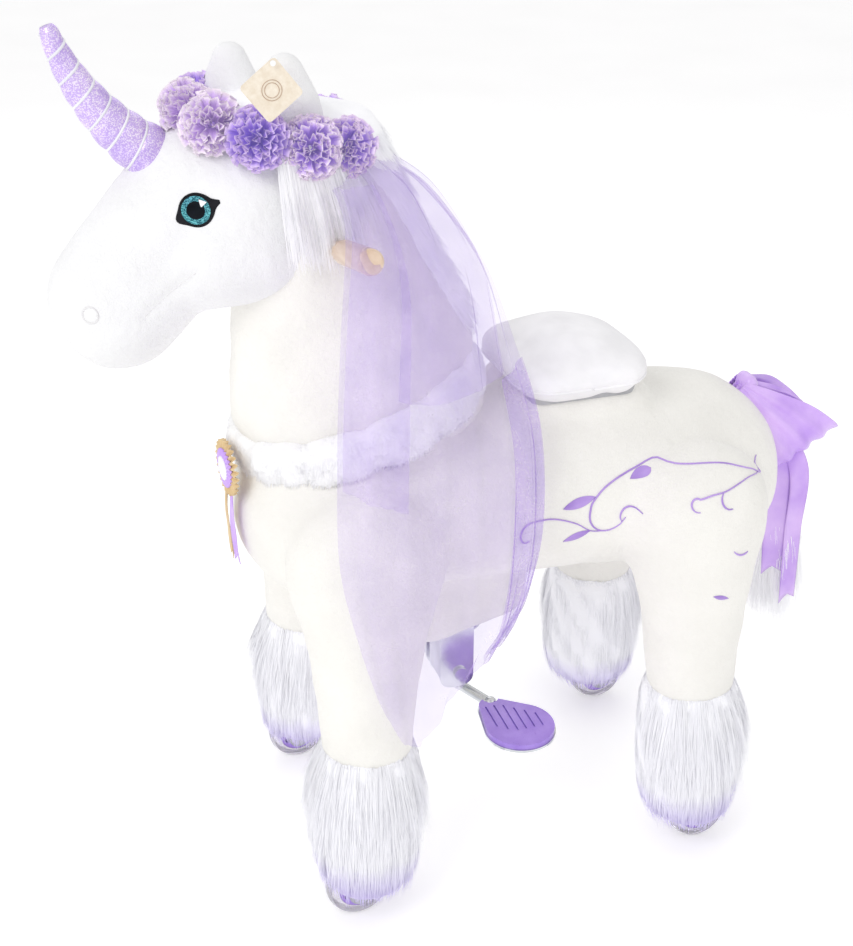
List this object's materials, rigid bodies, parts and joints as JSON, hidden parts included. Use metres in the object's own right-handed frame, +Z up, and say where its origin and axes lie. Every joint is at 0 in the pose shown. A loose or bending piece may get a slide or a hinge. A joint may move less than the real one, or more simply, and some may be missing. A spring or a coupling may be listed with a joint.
{
  "type": "ride-on plush unicorn",
  "caption": "Ride-on plush unicorn on swinging legs with wheeled hooves, linked foot pedals, a steering neck with handle pegs, a saddle, a tulle veil and a flower crown.",
  "frame": {"origin": "on the floor under the middle of the whole length and width", "axes": "+X to the unicorn's left, -Y towards its face, +Z up"},
  "size_m": [0.4236, 0.8654, 0.9571],
  "materials": {
    "steel": "grey enamel",
    "bronze": "sintered bronze",
    "chrome": "bright plated",
    "board": "plywood",
    "handle_wood": "turned, clear lacquer",
    "dark_plastic": "moulded",
    "saddle_cloth": "smooth padded cloth",
    "cream_plush": "short pile plush",
    "white_plush": "short pile plush",
    "white_hair": "long pile",
    "satin": "satin",
    "glitter_lame": "glitter lame",
    "silver_cord": "twisted cord",
    "eye_plastic": "glossy dome on black felt",
    "crown_cloth": "ruffled organza",
    "tulle": "sparkling tulle",
    "clear_plastic": "thread",
    "tag_card": "matt card",
    "rosette_ribbon": "pleated grosgrain",
    "lavender_velvet": "velvet",
    "violet_plastic": "moulded",
    "clear_tyre": "clear polyurethane"
  },
  "bodies": {
    "frame": {"spine_plates": "steel", "head_tube": "steel", "hip_bushings": "bronze", "pedal_bracket": "steel", "pedal_axle": "chrome", "saddle_board": "board", "saddle_pad": "saddle_cloth", "barrel_plush": "cream_plush", "tail_hair": "white_hair", "tail_bow": "satin", "bow_ribbons": "satin"},
    "steering": {"steering_column": "steel", "shoulder_bushings": "bronze", "handle_hub": "dark_plastic", "handle_peg_left": "handle_wood", "handle_peg_right": "handle_wood", "chest_plush": "cream_plush", "neck_plush": "white_plush", "neck_collar": "white_plush", "head_plush": "white_plush", "ears": "white_plush", "mane": "white_hair", "horn": "glitter_lame", "horn_cord": "silver_cord", "eyes": "eye_plastic", "crown_band": "crown_cloth", "carnations": "crown_cloth", "veil": "tulle", "tag_fastener": "clear_plastic", "rosette": "rosette_ribbon"},
    "tag": {"hang_tag": "tag_card"},
    "front_legs": {"front_cross_shaft": "steel", "front_leg_tubes": "steel", "front_axle_bolts": "chrome", "front_leg_left": "cream_plush", "front_leg_right": "cream_plush", "front_fur": "white_hair", "front_hoof_left": "lavender_velvet", "front_hoof_right": "lavender_velvet"},
    "rear_legs": {"rear_cross_shaft": "steel", "rear_leg_tubes": "steel", "rear_axle_bolts": "chrome", "rear_leg_left": "cream_plush", "rear_leg_right": "cream_plush", "rear_fur": "white_hair", "rear_hoof_left": "lavender_velvet", "rear_hoof_right": "lavender_velvet"},
    "front_left_wheel": {"hub_front_left": "violet_plastic", "tyre_front_left": "clear_tyre"},
    "front_right_wheel": {"hub_front_right": "violet_plastic", "tyre_front_right": "clear_tyre"},
    "rear_left_wheel": {"hub_rear_left": "violet_plastic", "tyre_rear_left": "clear_tyre"},
    "rear_right_wheel": {"hub_rear_right": "violet_plastic", "tyre_rear_right": "clear_tyre"},
    "link": {"link_rod": "steel"},
    "pedals": {"pedal_channels": "chrome", "pedal_arms": "chrome", "pedal_left": "violet_plastic", "pedal_right": "violet_plastic"}
  },
  "joints": [
    {"name": "steering_turn", "type": "hinge", "parent": "frame", "child": "steering", "pos_m": [0, -0.163, 0.5], "axis": [0, 0, 1], "range_deg": [-10, 10], "deforming": ["veil"]},
    {"name": "rear_swing", "type": "hinge", "parent": "frame", "child": "rear_legs", "pos_m": [0, 0.207, 0.43], "axis": [-1, 0, 0], "range_deg": [0, 8]},
    {"name": "front_swing", "type": "hinge", "parent": "steering", "child": "front_legs", "pos_m": [0, -0.163, 0.43], "axis": [-1, 0, 0], "range_deg": [-8, 0]},
    {"name": "link_turn", "type": "hinge", "parent": "rear_legs", "child": "link", "pos_m": [0, 0.207, 0.47], "axis": [-1, 0, 0], "range_deg": [-8, 0]},
    {"name": "pedal_swing", "type": "hinge", "parent": "frame", "child": "pedals", "pos_m": [0, -0.038, 0.35703], "axis": [-1, 0, 0], "range_deg": [0, 5.4]},
    {"name": "tag_swing", "type": "hinge", "parent": "steering", "child": "tag", "pos_m": [0.097, -0.229, 0.929], "axis": [1, 0, 0], "range_deg": [-20, 20]},
    {"name": "front_left_roll", "type": "hinge", "parent": "front_legs", "child": "front_left_wheel", "pos_m": [0.148, -0.188, 0.035], "axis": [1, 0, 0], "continuous": true},
    {"name": "front_right_roll", "type": "hinge", "parent": "front_legs", "child": "front_right_wheel", "pos_m": [-0.148, -0.188, 0.035], "axis": [1, 0, 0], "continuous": true},
    {"name": "rear_left_roll", "type": "hinge", "parent": "rear_legs", "child": "rear_left_wheel", "pos_m": [0.148, 0.232, 0.035], "axis": [1, 0, 0], "continuous": true},
    {"name": "rear_right_roll", "type": "hinge", "parent": "rear_legs", "child": "rear_right_wheel", "pos_m": [-0.148, 0.232, 0.035], "axis": [1, 0, 0], "continuous": true}
  ],
  "couplings": [
    {"joint": "front_swing", "follows": "rear_swing", "ratio": -1},
    {"joint": "link_turn", "follows": "rear_swing", "ratio": -1},
    {"joint": "pedal_swing", "follows": "rear_swing", "ratio": 0.66667}
  ]
}
